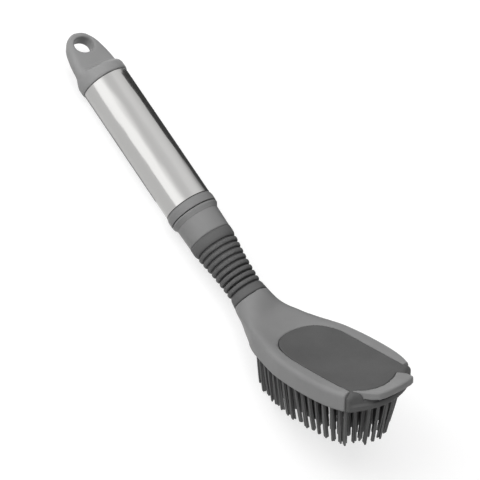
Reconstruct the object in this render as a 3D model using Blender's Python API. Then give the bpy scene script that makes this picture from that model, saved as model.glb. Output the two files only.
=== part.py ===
"""Dish brush with a steel tube handle, a ribbed neck grip and a boat-shaped head.

Metres, +Z up. The brush lies as it does on a draining board: on the collar of its hanging cap
and on the tips of its rearmost bristles, with its head towards +X and tipped up in front.

Two frames carry the pieces. The handle frame has the handle's axis as X, and its origin where
the grip meets the neck. The head frame has the rim's lower edge as its XY plane, X forward, and
its origin in the middle between the front ends of the rim. The origin of the whole brush is on
the floor, below the middle of its box.
"""
import math
import random

import bmesh
import bpy
from mathutils import Matrix, Vector

MM = 0.001

# Clearances and overruns
SEAT_GAP = 0.3 * MM
CUT_OVERRUN = 3.0 * MM
FUSE_DEPTH = 0.9 * MM

# Steel tube of the handle
TUBE_DIAMETER = 27.7 * MM
TUBE_WALL = 0.6 * MM
TUBE_LENGTH = 84.7 * MM

# Collar between the tube and the shank, with a spigot inside the tube
COLLAR_LENGTH = 5.7 * MM
COLLAR_DIAMETER = 28.7 * MM
COLLAR_FLARE = 1.9 * MM
SPIGOT_LENGTH = 6.0 * MM
SPIGOT_WALL = 2.4 * MM

# Shank of the brush body, and its tang inside the tube
SHANK_LENGTH = 16.5 * MM
SHANK_DIAMETER = 25.9 * MM
SHANK_LOW_DIAMETER = 25.2 * MM
SHOULDER_DIAMETER = 28.5 * MM
SHOULDER_LENGTH = 1.5 * MM
SHOULDER_ROUNDING = 0.8 * MM
TANG_DIAMETER = 19.4 * MM
TANG_LENGTH = 34.0 * MM
TANG_BORE = 13.0 * MM
TANG_RIB_COUNT = 8
TANG_CHAMFER = 1.2 * MM

# Ribbed rubber grip around the neck
GRIP_LENGTH = 40.6 * MM
GRIP_DIAMETER = 25.5 * MM
GRIP_LOW_DIAMETER = 21.0 * MM
GRIP_THICKNESS = 2.7 * MM
GRIP_TOP_BAND = 6.5 * MM
GROOVE_COUNT = 9
GROOVE_PITCH = 3.53 * MM
GROOVE_DEPTH = 1.3 * MM
GROOVE_WIDTH = 1.3 * MM
GROOVE_FLOOR = 0.4 * MM

# Hanging cap: plug, collar, and flat tab with an eye
CAP_COLLAR_LENGTH = 6.2 * MM
CAP_COLLAR_DIAMETER = 28.9 * MM
CAP_EDGE = 1.5 * MM
CAP_SHOULDER = 5.5 * MM
PLUG_LENGTH = 15.0 * MM
PLUG_WALL = 1.8 * MM
PLUG_RIB_COUNT = 10
PLUG_RIB_HEIGHT = 0.9 * MM
TAB_LENGTH = 28.1 * MM
TAB_THICKNESS = 8.6 * MM
TAB_CORNER = 3.0 * MM
EYE_LENGTH = 9.7 * MM
EYE_WIDTH = 12.4 * MM
EYE_SETBACK = 9.2 * MM
EYE_ROUNDING = 1.5 * MM

# Head, a boat-shaped tray with a raised rim
HEAD_PITCH = math.radians(36.36)
HEAD_LENGTH = 75.0 * MM
HEAD_WIDTH = 56.5 * MM
NECK_RUN = 23.3 * MM
NECK_RISE = 17.3 * MM
RIM_SETBACK = 2.3 * MM
RIM_ROUNDING = 2.6 * MM
RIM_FOOT_EDGE = 0.5 * MM
RIM_LEAN = 0.3 * MM
RIM_DROP = 0.3 * MM
CREST_FRONT_HEIGHT = 11.0 * MM
CREST_REAR_HEIGHT = 12.8 * MM
DISH_DEPTH = 2.9 * MM
FRONT_BULGE = 7.6 * MM

# Scraper lip at the front of the head, and the nose that carries it
LIP_UNDERSIDE = 6.4 * MM
LIP_FRONT_HEIGHT = 10.9 * MM
LIP_LENGTH = 10.9 * MM
LIP_SETBACK = 2.5 * MM
LIP_OFFSET = 1.5 * MM
LIP_PROUD = 0.25 * MM
LIP_CHAMFER = 0.5 * MM
NOSE_HEIGHT = 7.4 * MM
NOSE_SETBACK = 3.8 * MM

# Rubber inlay: a dished pad, two notches beside the lip and a bumper below it
PAD_REAR_SETBACK = 7.7 * MM
PAD_SIDE_SETBACK = 8.4 * MM
PAD_THICKNESS = 2.0 * MM
PAD_SINK = 0.15 * MM
BUMPER_THICKNESS = 1.5 * MM
BUMPER_HEIGHT = 3.5 * MM
BUMPER_FOOT = 0.3 * MM
NOTCH_DEPTH = 1.2 * MM
NOTCH_FADE = 4.0 * MM
NOTCH_ROUNDING = 2.4 * MM

# Bristle field: tufts in rows across the head, each row on a slice of the backing
RIM_WALL = 1.7 * MM
FRONT_WALL = 0.9 * MM
SEAT_DEPTH = 3.9 * MM
BACKING_LIFT = 0.6 * MM
SEAT_OVERHANG = 6.5 * MM
SEAT_REAR_INSET = 3.4 * MM
ROW_COUNT = 17
TUFT_PITCH = 5.4 * MM
TUFT_MARGIN = 1.5 * MM
FRONT_MARGIN = 1.0 * MM
FIRST_ROW_SETBACK = 1.7 * MM
LAST_ROW_SETBACK = 1.9 * MM
STRANDS_PER_TUFT = 3
STRAND_SIDES = 3
STRAND_WIDTH = 1.2 * MM
STRAND_OFFSET = 0.8 * MM
BRISTLE_LENGTH = 23.3 * MM
BRISTLE_UNEVENNESS = 0.5 * MM
SIDE_LEAN = 3.2 * MM
REAR_LEAN = 1.7 * MM
FRONT_LEAN = 1.3 * MM
FRONT_SWEEP = 7.2 * MM
ROW_BOW = 6.2 * MM
BOW_FADE = 10.5 * MM
TIP_TRIM = 0.9 * MM

# Half-width of the head against its length, from the front ends of the rim to the rear
HEAD_OUTLINE_SHARES = (
    (0.0, 0.825), (0.1, 0.925), (0.22, 0.982), (0.4, 1.0), (0.55, 0.982), (0.72, 0.92),
    (0.89, 0.785), (1.0, 0.69),
)
# Depth of the dish against the length of the head
DISH_SHARES = ((0.0, 0.6), (0.15, 0.85), (0.4, 1.0), (0.65, 1.0), (0.85, 0.78), (1.0, 0.35))
# Outline of the pad, as shares of its length and half-width, from the front to the rear
PAD_OUTLINE_SHARES = (
    (0.02, 0.962), (0.1, 0.985), (0.25, 1.0), (0.45, 1.0), (0.64, 0.998),
    (0.74, 0.97), (0.84, 0.865), (0.91, 0.72), (0.96, 0.52), (0.99, 0.26),
    (1.0, 0.0),
)
# Sections of the lip from its right end to its left one, as shares: place across the lip, and
# reach of the rear and front edges. The left end runs out to a full corner, and the right end
# tapers to a point beside the notch.
LIP_SECTION_SHARES = (
    (-1.0, -0.2, -0.14), (-0.9, -0.11, 0.07), (-0.8, -0.02, 0.3), (-0.65, 0.11, 0.62),
    (-0.48, 0.2, 0.86), (-0.25, 0.28, 0.95), (0.03, 0.32, 0.99), (0.3, 0.28, 1.0),
    (0.62, 0.14, 0.985), (0.82, -0.02, 0.94), (0.92, 0.24, 0.91), (0.99, 0.5, 0.88),
)
# Radius of the grip against its length, from its lower end to its top
GRIP_RADIUS_SHARES = (
    (0.0, 0.825), (0.08, 0.785), (0.14, 0.776), (0.25, 0.785), (0.4, 0.815), (0.55, 0.856),
    (0.7, 0.915), (0.82, 0.965), (0.92, 0.997), (1.0, 0.996),
)
# Half-width of the tab against its length, from the collar's shoulder to its end
TAB_OUTLINE_SHARES = (
    (0.0, 0.99), (0.05, 0.96), (0.1, 0.95), (0.23, 0.928), (0.4, 0.88), (0.57, 0.796), (0.66, 0.745),
    (0.74, 0.675), (0.82, 0.565), (0.9, 0.44), (0.95, 0.325), (0.98, 0.21), (1.0, 0.08),
)
# Places of the cap's sections along the tab
TAB_PLACE_SHARES = (0.3, 0.42, 0.54, 0.65, 0.74, 0.82, 0.88, 0.93, 0.965, 0.985, 1.0)
# Half-width of the neck between the grip and the head, as shares from one to the other
NECK_WIDTH_SHARES = (0.0, 0.34, 0.7, 1.0)
NECK_EASE_SHARE = 0.25
RIM_BAND_SHARE = 0.76
BEAD_EDGE_SHARE = 0.3
SCOOP_SHARE = 0.7
TAB_BLUNT_SHARE = 0.35
NOTCH_ROUNDING_SHARE = 0.8
LEDGE_SHARE = 0.2
FRONT_LEAN_SHARE = 0.45
NECK_FLARE_SHARE = 0.2
NECK_TAPER_SHARE = 0.13
NECK_PULL_SHARE = 0.48
TUFT_SPLAY_SHARE = 0.35

# Longest corner of a grown outline, as a multiple of its growth, and the sharpest smooth edge
MITER_LIMIT = 1.6
SMOOTH_LIMIT = math.radians(32)

# Facets
RING_HALF = 20
DISH_STEPS = 7
BAND_STEPS = 3
ROUND_STEPS = 4
WALL_STEPS = 3
TURN_STEPS = 36
HEAD_RINGS = 14
NECK_RINGS = 8
NOSE_RINGS = 16
ROW_FIT_STEPS = 12
PAD_RING_SHARES = (0.3, 0.6, 0.82, 0.93, 1.0)
PAD_FRONT_SHARES = (0.9, 0.6, 0.3, 0.0)

# Stations along the handle's axis, from the grip's lower end backward
X_GRIP_TOP = -GRIP_LENGTH
X_SHANK_TOP = X_GRIP_TOP - SHANK_LENGTH
X_TUBE_LOW = X_SHANK_TOP - COLLAR_LENGTH
X_TUBE_TOP = X_TUBE_LOW - TUBE_LENGTH
X_CAP_SHOULDER = X_TUBE_TOP - CAP_COLLAR_LENGTH
X_CAP_END = X_CAP_SHOULDER - TAB_LENGTH
X_TANG_END = X_TUBE_LOW - TANG_LENGTH
X_EYE = X_CAP_END + EYE_SETBACK

TUBE_RADIUS = TUBE_DIAMETER / 2
TUBE_BORE_RADIUS = TUBE_RADIUS - TUBE_WALL
FIT_RADIUS = TUBE_BORE_RADIUS - SEAT_GAP
TANG_RADIUS = TANG_DIAMETER / 2
CAP_RADIUS = CAP_COLLAR_DIAMETER / 2
RIM_END_HALF = HEAD_OUTLINE_SHARES[0][1] * HEAD_WIDTH / 2
NOSE_HALF = RIM_END_HALF - NOSE_SETBACK
LIP_HALF = NOSE_HALF - LIP_SETBACK
PAD_HALF = HEAD_WIDTH / 2 - PAD_SIDE_SETBACK
PAD_LENGTH = HEAD_LENGTH - PAD_REAR_SETBACK
GRIP_BORE_TOP = SHANK_LOW_DIAMETER / 2 - GRIP_THICKNESS
GRIP_BORE_LOW = GRIP_LOW_DIAMETER / 2 - GRIP_THICKNESS

# The grip's lower end as a point of the head frame, and the handle frame seen from there
NECK_X = -(HEAD_LENGTH + NECK_RUN)
HANDLE_TO_HEAD = Matrix.Translation((NECK_X, 0, NECK_RISE)) @ Matrix.Rotation(HEAD_PITCH, 4, "Y")


def smooth_value(table, share):
    """Value of a table of (place, value) shares at a place, on a smooth curve."""
    places = [row[0] for row in table]
    values = [row[1] for row in table]
    if share <= places[0]:
        return values[0]
    if share >= places[-1]:
        return values[-1]
    slopes = []
    for i in range(len(table)):
        low = max(i - 1, 0)
        high = min(i + 1, len(table) - 1)
        slopes.append((values[high] - values[low]) / (places[high] - places[low]))
    i = max(k for k in range(len(places) - 1) if places[k] <= share)
    span = places[i + 1] - places[i]
    t = (share - places[i]) / span
    start = (1 + 2 * t) * (1 - t) ** 2 * values[i] + t * (1 - t) ** 2 * span * slopes[i]
    end = t * t * (3 - 2 * t) * values[i + 1] + t * t * (t - 1) * span * slopes[i + 1]
    return start + end


def smooth_path(points, before, steps):
    """Points of a Catmull-Rom curve through 2-D points; before leads in to the first one."""
    last = 2 * points[-1] - points[-2]
    spots = [before, *points, last]
    path = []
    for i in range(1, len(spots) - 2):
        a, b, c, d = spots[i - 1:i + 3]
        for k in range(steps):
            t = k / steps
            path.append((2 * b + (c - a) * t + (2 * a - 5 * b + 4 * c - d) * t * t
                         + (3 * b - a - 3 * c + d) * t ** 3) / 2)
    path.append(points[-1])
    return path


def bezier(points, t):
    """Point of a cubic Bezier curve."""
    a, b, c, d = points
    s = 1 - t
    return a * s ** 3 + b * 3 * s * s * t + c * 3 * s * t * t + d * t ** 3


def smoothstep(t):
    """Ease from 0 to 1."""
    t = min(max(t, 0), 1)
    return t * t * (3 - 2 * t)


def object_from(name, bm):
    """Object with the mesh of bm, its faces turned outward."""
    bmesh.ops.recalc_face_normals(bm, faces=bm.faces[:])
    mesh = bpy.data.meshes.new(name)
    bm.to_mesh(mesh)
    bm.free()
    piece = bpy.data.objects.new(name, mesh)
    bpy.context.scene.collection.objects.link(piece)
    return piece


def skin(name, rings, capped=True):
    """Solid through closed rings of equally many points; uncapped rings close on the first."""
    bm = bmesh.new()
    loops = [[bm.verts.new(point) for point in ring] for ring in rings]
    count = len(loops[0])
    pairs = list(zip(loops, loops[1:]))
    if capped:
        bm.faces.new(loops[0])
        bm.faces.new(loops[-1])
    else:
        pairs.append((loops[-1], loops[0]))
    for near, far in pairs:
        for i in range(count):
            j = (i + 1) % count
            bm.faces.new((near[i], near[j], far[j], far[i]))
    return object_from(name, bm)


def turned(name, profile):
    """Ring-shaped solid: a closed profile of (x, radius) points spun about the handle's axis."""
    bm = bmesh.new()
    verts = [bm.verts.new((x, 0, radius)) for x, radius in profile]
    edges = [bm.edges.new((verts[i - 1], verts[i])) for i in range(len(verts))]
    bmesh.ops.spin(bm, geom=verts + edges, cent=(0, 0, 0), axis=(1, 0, 0),
                   angle=2 * math.pi, steps=TURN_STEPS, use_merge=True)
    return object_from(name, bm)


def combine(target, tool, operation):
    """Apply an exact Boolean to the target and remove the tool."""
    tool.hide_render = True
    tool.display_type = "WIRE"
    modifier = target.modifiers.new(operation.lower(), "BOOLEAN")
    modifier.operation = operation
    modifier.solver = "EXACT"
    modifier.object = tool
    bpy.context.view_layer.update()
    depsgraph = bpy.context.evaluated_depsgraph_get()
    result = bpy.data.meshes.new_from_object(target.evaluated_get(depsgraph))
    target.modifiers.clear()
    target.data = result
    bpy.data.objects.remove(tool)
    return target


def material(name, colour, roughness, metallic=0.0):
    """Principled material of one colour."""
    finish = bpy.data.materials.new(name)
    finish.use_nodes = True
    shader = finish.node_tree.nodes["Principled BSDF"]
    shader.inputs["Base Color"].default_value = (*colour, 1)
    shader.inputs["Roughness"].default_value = roughness
    shader.inputs["Metallic"].default_value = metallic
    return finish


def finish_piece(piece, frame, finish):
    """Give a piece its material, its smooth shading and the frame that carries it."""
    piece.data.materials.clear()
    piece.data.materials.append(finish)
    piece.data.shade_smooth()
    piece.data.set_sharp_from_angle(angle=SMOOTH_LIMIT)
    piece.parent = frame
    return piece


# Rings across the handle's axis

def oval_ring(x, half_width, half_height):
    """Ellipse across the axis, from its top round by its +Y side."""
    ring = []
    for i in range(2 * RING_HALF):
        angle = math.pi * i / RING_HALF
        ring.append(Vector((x, half_width * math.sin(angle), half_height * math.cos(angle))))
    return ring


def ribbed_ring(x, radius, rib_radius, ribs):
    """Circle across the axis with square ribs that stand out to rib_radius."""
    ring = []
    for i, point in enumerate(oval_ring(x, 1, 1)):
        on_rib = (i * ribs) % (2 * RING_HALF) < ribs
        reach = rib_radius if on_rib else radius
        ring.append(Vector((x, point.y * reach, point.z * reach)))
    return ring


def slab_ring(x, half_width, half_height, corner):
    """Flat section with rounded sides; its upper and lower faces are level."""
    corner = min(corner, half_height, half_width)
    flat = half_width - corner
    level = half_height - corner
    ring = []
    for i in range(2 * RING_HALF):
        angle = math.pi * i / RING_HALF
        across = math.sin(angle)
        up = math.cos(angle)
        if abs(up) > abs(across):
            y = (flat + corner / 2) * across / abs(up)
            y = max(-flat, min(flat, y))
            z = math.copysign(half_height, up)
        else:
            turn = math.pi / 2 * (up / abs(across))
            y = math.copysign(flat + corner * math.cos(turn), across)
            z = level * math.sin(turn) + corner * math.sin(turn)
        ring.append(Vector((x, y, z)))
    return ring


def mix_rings(near, far, share):
    """Ring between two rings."""
    return [a.lerp(b, share) for a, b in zip(near, far)]


# Hanging cap

def tab_half_width(share):
    """Half-width of the tab at a share of its length."""
    return CAP_RADIUS * smooth_value(TAB_OUTLINE_SHARES, share)


def tab_half_height(x):
    """Half-thickness of the tab, rounded off towards its end."""
    half = TAB_THICKNESS / 2
    left = x - X_CAP_END
    if left >= half:
        return half
    return half * math.sqrt(max(1 - (1 - left / half) ** 2, TAB_BLUNT_SHARE ** 2))


def eye_cutter():
    """Spool that cuts the eye and softens both of its rims."""
    rings = []
    half = TAB_THICKNESS / 2
    reach = half + CUT_OVERRUN
    heights = [-reach, -half]
    for k in range(1, ROUND_STEPS + 1):
        heights.append(-half + EYE_ROUNDING * (1 - math.cos(math.pi / 2 * k / ROUND_STEPS)))
    heights += [-z for z in reversed(heights)]
    for z in heights:
        depth = min(max(half - abs(z), 0), EYE_ROUNDING)
        grow = EYE_ROUNDING - math.sqrt(EYE_ROUNDING ** 2 - (EYE_ROUNDING - depth) ** 2)
        grow = min(grow, EYE_ROUNDING)
        ring = []
        for i in range(TURN_STEPS):
            angle = 2 * math.pi * i / TURN_STEPS
            x = X_EYE + (EYE_LENGTH / 2 + grow) * math.cos(angle)
            y = (EYE_WIDTH / 2 + grow) * math.sin(angle)
            ring.append(Vector((x, y, z)))
        rings.append(ring)
    return skin("eye_cutter", rings)


def make_end_cap():
    """Cap in one moulding: ribbed plug, collar, and a tab that flattens out behind it."""
    core = FIT_RADIUS - PLUG_RIB_HEIGHT
    seam = X_TUBE_TOP - SEAT_GAP
    plug_end = X_TUBE_TOP + PLUG_LENGTH
    lead = plug_end - PLUG_RIB_HEIGHT
    edge_radius = TUBE_RADIUS + SEAT_GAP
    rings = [
        oval_ring(plug_end, core, core),
        ribbed_ring(lead, core, FIT_RADIUS, PLUG_RIB_COUNT),
        ribbed_ring(seam, core, FIT_RADIUS, PLUG_RIB_COUNT),
        oval_ring(seam, edge_radius, edge_radius),
        oval_ring(seam - CAP_EDGE, CAP_RADIUS, CAP_RADIUS),
        oval_ring(X_CAP_SHOULDER + SHOULDER_ROUNDING, CAP_RADIUS, CAP_RADIUS),
    ]
    for k in range(1, ROUND_STEPS + 1):
        share = k / ROUND_STEPS
        x = X_CAP_SHOULDER - CAP_SHOULDER * share
        place = (X_CAP_SHOULDER - x) / TAB_LENGTH
        half_width = tab_half_width(max(place, 0))
        flat = slab_ring(x, half_width, tab_half_height(x), TAB_CORNER)
        drop = CAP_RADIUS * math.cos(math.pi / 2 * share * SCOOP_SHARE)
        round_ring = oval_ring(x, half_width, drop)
        rings.append(mix_rings(round_ring, flat, smoothstep(share)))
    for place in TAB_PLACE_SHARES:
        x = X_CAP_SHOULDER - TAB_LENGTH * place
        rings.append(slab_ring(x, tab_half_width(place), tab_half_height(x), TAB_CORNER))
    cap = skin("end_cap", rings)
    combine(cap, eye_cutter(), "DIFFERENCE")
    bore = core - PLUG_WALL
    hollow = skin("plug_cutter", [
        oval_ring(plug_end + CUT_OVERRUN, bore, bore),
        oval_ring(seam, bore, bore),
    ])
    return combine(cap, hollow, "DIFFERENCE")


# Tube, collar and grip

def make_handle_tube():
    """Thin steel tube."""
    return turned("handle_tube", [
        (X_TUBE_TOP, TUBE_RADIUS), (X_TUBE_LOW, TUBE_RADIUS),
        (X_TUBE_LOW, TUBE_BORE_RADIUS), (X_TUBE_TOP, TUBE_BORE_RADIUS),
    ])


def make_tube_collar():
    """Ring between the tube and the shank: it flares a little, and its spigot fits the tube."""
    bore = TANG_RADIUS + SEAT_GAP
    spigot = min(bore + SPIGOT_WALL, FIT_RADIUS)
    top = X_TUBE_LOW + SEAT_GAP
    low = X_SHANK_TOP
    widest = COLLAR_DIAMETER / 2
    return turned("tube_collar", [
        (X_TUBE_LOW - SPIGOT_LENGTH, spigot), (top, spigot), (top, TUBE_RADIUS),
        (top + COLLAR_FLARE, widest), (low, widest), (low, bore),
        (X_TUBE_LOW - SPIGOT_LENGTH, bore),
    ])


def grip_radius(x):
    """Outer radius of the grip at a station of the handle."""
    return GRIP_DIAMETER / 2 * smooth_value(GRIP_RADIUS_SHARES, -x / GRIP_LENGTH)


def make_neck_grip():
    """Rubber sleeve with round beads between its grooves."""
    top = X_GRIP_TOP + SEAT_GAP
    low = -SEAT_GAP
    profile = [(top, grip_radius(top))]
    for k in range(1, BAND_STEPS):
        x = top + GRIP_TOP_BAND * k / BAND_STEPS
        profile.append((x, grip_radius(x)))
    for k in range(GROOVE_COUNT):
        centre = X_GRIP_TOP + GRIP_TOP_BAND + k * GROOVE_PITCH
        radius = grip_radius(centre)
        profile.append((centre - GROOVE_WIDTH / 2, radius - GROOVE_DEPTH * BEAD_EDGE_SHARE))
        profile.append((centre - GROOVE_FLOOR / 2, radius - GROOVE_DEPTH))
        profile.append((centre + GROOVE_FLOOR / 2, radius - GROOVE_DEPTH))
        profile.append((centre + GROOVE_WIDTH / 2, radius - GROOVE_DEPTH * BEAD_EDGE_SHARE))
        crest = centre + GROOVE_PITCH / 2
        if k < GROOVE_COUNT - 1:
            profile.append((crest, grip_radius(crest)))
    for x in (low * 2 - GROOVE_PITCH / 2, low):
        profile.append((x, grip_radius(x)))
    profile.append((low, GRIP_BORE_LOW))
    profile.append((top, GRIP_BORE_TOP))
    return turned("neck_grip", profile)


# Head surfaces, in the head frame

def head_half_width(x):
    """Half-width of the rim's foot."""
    return HEAD_WIDTH / 2 * smooth_value(HEAD_OUTLINE_SHARES, -x / HEAD_LENGTH)


def crest_height(x):
    """Height of the rim's crest above its foot."""
    share = min(max(-x / HEAD_LENGTH, 0), 1)
    return CREST_FRONT_HEIGHT + (CREST_REAR_HEIGHT - CREST_FRONT_HEIGHT) * share ** 3


def tray_height(x, y):
    """Height of the tray's upper surface: dish, rim band and the rim's rounded shoulder."""
    y = abs(y)
    crest = crest_height(x)
    edge = crest - RIM_DROP
    centre = crest - DISH_DEPTH * smooth_value(DISH_SHARES, -x / HEAD_LENGTH)
    half = head_half_width(x) - RIM_LEAN
    band = RIM_BAND_SHARE * half
    shoulder = half - RIM_ROUNDING
    if y <= band:
        return centre + (edge - centre) * (y / band) ** 2
    if y <= shoulder:
        return edge + (crest - edge) * (y - band) / (shoulder - band)
    reach = min(y - shoulder, RIM_ROUNDING)
    return crest - RIM_ROUNDING + math.sqrt(RIM_ROUNDING ** 2 - reach ** 2)


def tray_half_section(x):
    """Half of a section across the tray, as (y, z) from its top centre to its bottom centre."""
    foot = head_half_width(x)
    half = foot - RIM_LEAN
    band = RIM_BAND_SHARE * half
    shoulder = half - RIM_ROUNDING
    crest = crest_height(x)
    section = []
    for k in range(DISH_STEPS):
        y = band * k / DISH_STEPS
        section.append((y, tray_height(x, y)))
    for k in range(BAND_STEPS):
        y = band + (shoulder - band) * k / BAND_STEPS
        section.append((y, tray_height(x, y)))
    for k in range(ROUND_STEPS):
        angle = math.pi / 2 * k / ROUND_STEPS
        y = shoulder + RIM_ROUNDING * math.sin(angle)
        z = crest - RIM_ROUNDING * (1 - math.cos(angle))
        section.append((y, z))
    for k in range(WALL_STEPS + 1):
        share = k / WALL_STEPS
        y = half + (foot - half) * share
        z = (crest - RIM_ROUNDING) * (1 - share) + RIM_FOOT_EDGE * share
        section.append((y, z))
    bottom_steps = RING_HALF - len(section)
    for k in range(bottom_steps + 1):
        share = k / bottom_steps
        section.append(((foot - RIM_FOOT_EDGE) * (1 - share), 0))
    return section


def full_ring(half_section, place):
    """Closed ring from a half-section; place turns (y, z) into a point."""
    right = [place(y, z) for y, z in half_section]
    left = [place(-y, z) for y, z in reversed(half_section[1:-1])]
    return right + left


def tray_ring(x):
    """Section across the tray as a ring."""
    return full_ring(tray_half_section(x), lambda y, z: Vector((x, y, z)))


def neck_ring(share):
    """Section of the neck, which turns from the round grip end into the tray's rear section."""
    rear = -HEAD_LENGTH
    radius = grip_radius(0)
    low_start = HANDLE_TO_HEAD @ Vector((0, 0, -radius))
    top_start = HANDLE_TO_HEAD @ Vector((0, 0, radius))
    forward = HANDLE_TO_HEAD.to_3x3() @ Vector((1, 0, 0))
    section = tray_half_section(rear)
    low_end = Vector((rear, 0, 0))
    top_end = Vector((rear, 0, section[0][1]))
    pull = NECK_RUN / 3
    level = Vector((1, 0, 0))
    descent = Vector((1, 0, -math.tan(HEAD_PITCH * NECK_EASE_SHARE)))
    low = bezier((low_start, low_start + forward * pull, low_end - level * pull, low_end), share)
    dip = NECK_RUN * NECK_PULL_SHARE
    top = bezier((top_start, top_start + forward * dip, top_end - descent * dip, top_end), share)
    up = top - low
    height = up.length
    up.normalize()
    width_start = radius
    width_end = head_half_width(rear)
    half = width_start + (width_end - width_start) * bezier(NECK_WIDTH_SHARES, share)
    blend = smoothstep(share)
    tray_height_rear = section[0][1]
    mixed = []
    for i, (y, z) in enumerate(section):
        angle = math.pi * i / RING_HALF
        oval_y = math.sin(angle)
        oval_z = (1 + math.cos(angle)) / 2
        tray_y = y / width_end
        tray_z = z / tray_height_rear
        taper = NECK_TAPER_SHARE * max(math.cos(angle), 0)
        flare = NECK_FLARE_SHARE * (1 - share) * max(-math.cos(angle), 0)
        spread = 1 + (flare - taper) * math.sin(math.pi * share)
        mixed.append((half * (oval_y + (tray_y - oval_y) * blend) * spread,
                      height * (oval_z + (tray_z - oval_z) * blend)))
    return full_ring(mixed, lambda y, z: low + Vector((0, y, 0)) + up * z)


def front_edge(y):
    """Forward reach of the head's front edge at a place across it."""
    return FRONT_BULGE * (1 - (y / RIM_END_HALF) ** 2)


def nose_solid(grow):
    """Block between the rim's ends that carries the lip, grown on all sides by a clearance."""
    half = NOSE_HALF + grow
    rear = -RIM_SETBACK - CUT_OVERRUN
    floor = -CUT_OVERRUN if grow else 0
    rings = []
    for k in range(NOSE_RINGS + 1):
        y = half * (2 * k / NOSE_RINGS - 1)
        front = front_edge(y) - BUMPER_THICKNESS - SEAT_GAP + grow
        rings.append([Vector((rear, y, floor)), Vector((front, y, floor)),
                      Vector((front, y, NOSE_HEIGHT + grow)), Vector((rear, y, NOSE_HEIGHT + grow))])
    return skin("nose", rings)


def grown_outline(outline, distance):
    """Closed outline moved outward by a distance."""
    count = len(outline)
    area = sum(outline[i - 1].cross(outline[i]) for i in range(count))
    turn = 1 if area > 0 else -1
    grown = []
    for i in range(count):
        before = (outline[i] - outline[i - 1]).normalized()
        after = (outline[(i + 1) % count] - outline[i]).normalized()
        normal_before = Vector((before.y, -before.x)) * turn
        normal_after = Vector((after.y, -after.x)) * turn
        miter = (normal_before + normal_after) / (1 + normal_before.dot(normal_after))
        if miter.length > MITER_LIMIT:
            miter = miter.normalized() * MITER_LIMIT
        grown.append(outline[i] + miter * distance)
    return grown


def lip_rear_height(x, y):
    """Height of the lip's rear edge, which stands a little proud of the pad."""
    return tray_height(x, y) - PAD_SINK + LIP_PROUD


def lip_solid(grow):
    """Scraper lip, grown on all sides by a clearance; a grown one runs out over its top."""
    low = LIP_UNDERSIDE - grow
    first = LIP_SECTION_SHARES[0][0]
    last = LIP_SECTION_SHARES[-1][0]
    rings = []
    for across, rear_share, lead_share in LIP_SECTION_SHARES:
        y = LIP_HALF * across - LIP_OFFSET
        if across == first:
            y -= grow
        if across == last:
            y += grow
        rear = LIP_LENGTH * rear_share - grow
        front = LIP_LENGTH * lead_share + grow
        if grow:
            top = LIP_FRONT_HEIGHT + CUT_OVERRUN
            section = [(rear, low), (front, low), (front, top), (rear, top)]
        else:
            chamfer = min(LIP_CHAMFER, (front - rear) / 3)
            section = [(rear, low), (front, low), (front, LIP_FRONT_HEIGHT - chamfer),
                       (front - chamfer, LIP_FRONT_HEIGHT), (rear, lip_rear_height(rear, y))]
        rings.append([Vector((x, y, z)) for x, z in section])
    return skin("lip", rings)


def pad_outline(grow):
    """Closed outline of the pad in plan, from its rear point round by its front."""
    half = [Vector((-PAD_LENGTH * x, PAD_HALF * y)) for x, y in PAD_OUTLINE_SHARES]
    half = list(reversed(half))
    side = smooth_path(half, Vector((half[1].x, -half[1].y)), 2)
    corner = side[-1]
    front = []
    for share in PAD_FRONT_SHARES:
        y = corner.y * share
        front.append(Vector((front_edge(y) - NOTCH_DEPTH - NOTCH_ROUNDING, y)))
    right = side + front
    left = [Vector((p.x, -p.y)) for p in reversed(right[1:-1])]
    outline = right + left
    return grown_outline(outline, grow) if grow else outline


def pad_solid(grow):
    """Dished pad; a grown one is the cutter of its seat and runs out over the rim."""
    outline = pad_outline(grow)
    centre = Vector((-PAD_LENGTH / 2, 0))
    depth = PAD_SINK + PAD_THICKNESS + grow
    ceiling = CREST_REAR_HEIGHT + CUT_OVERRUN
    bm = bmesh.new()

    def surface(point, upper):
        z = tray_height(point.x, point.y)
        if upper:
            z = ceiling if grow else z - PAD_SINK
        else:
            z -= depth
        return bm.verts.new((point.x, point.y, z))

    edges = []
    for upper in (True, False):
        hub = surface(centre, upper)
        loops = [[surface(centre.lerp(point, share), upper) for point in outline]
                 for share in PAD_RING_SHARES]
        count = len(outline)
        for i in range(count):
            j = (i + 1) % count
            bm.faces.new((hub, loops[0][i], loops[0][j]))
            for near, far in zip(loops, loops[1:]):
                bm.faces.new((near[i], near[j], far[j], far[i]))
        edges.append(loops[-1])
    high, low = edges
    for i in range(len(high)):
        j = (i + 1) % len(high)
        bm.faces.new((high[i], high[j], low[j], low[i]))
    return object_from("pad", bm)


def bumper_solid():
    """Rubber front of the head: a band along the foot, a recessed face and a rounded top."""
    half = RIM_END_HALF - SEAT_GAP
    rear = -RIM_SETBACK + SEAT_GAP
    rings = []
    for k in range(NOSE_RINGS + 1):
        y = half * (2 * k / NOSE_RINGS - 1)
        front = front_edge(y)
        depth = NOTCH_DEPTH * min((RIM_END_HALF - abs(y)) / NOTCH_FADE, 1)
        face = front - depth
        top = tray_height(0, y) - PAD_SINK
        rounding = min(NOTCH_ROUNDING, (face - rear) * NOTCH_ROUNDING_SHARE)
        ledge = depth * LEDGE_SHARE
        profile = [(rear, BUMPER_FOOT), (front, BUMPER_FOOT), (front, BUMPER_HEIGHT - ledge),
                   (face, BUMPER_HEIGHT + ledge)]
        for n in range(ROUND_STEPS + 1):
            angle = math.pi / 2 * n / ROUND_STEPS
            profile.append((face - rounding * (1 - math.cos(angle)),
                            top - rounding * (1 - math.sin(angle))))
        profile.append((rear, top))
        rings.append([Vector((x, y, z)) for x, z in profile])
    return skin("bumper", rings)


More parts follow.
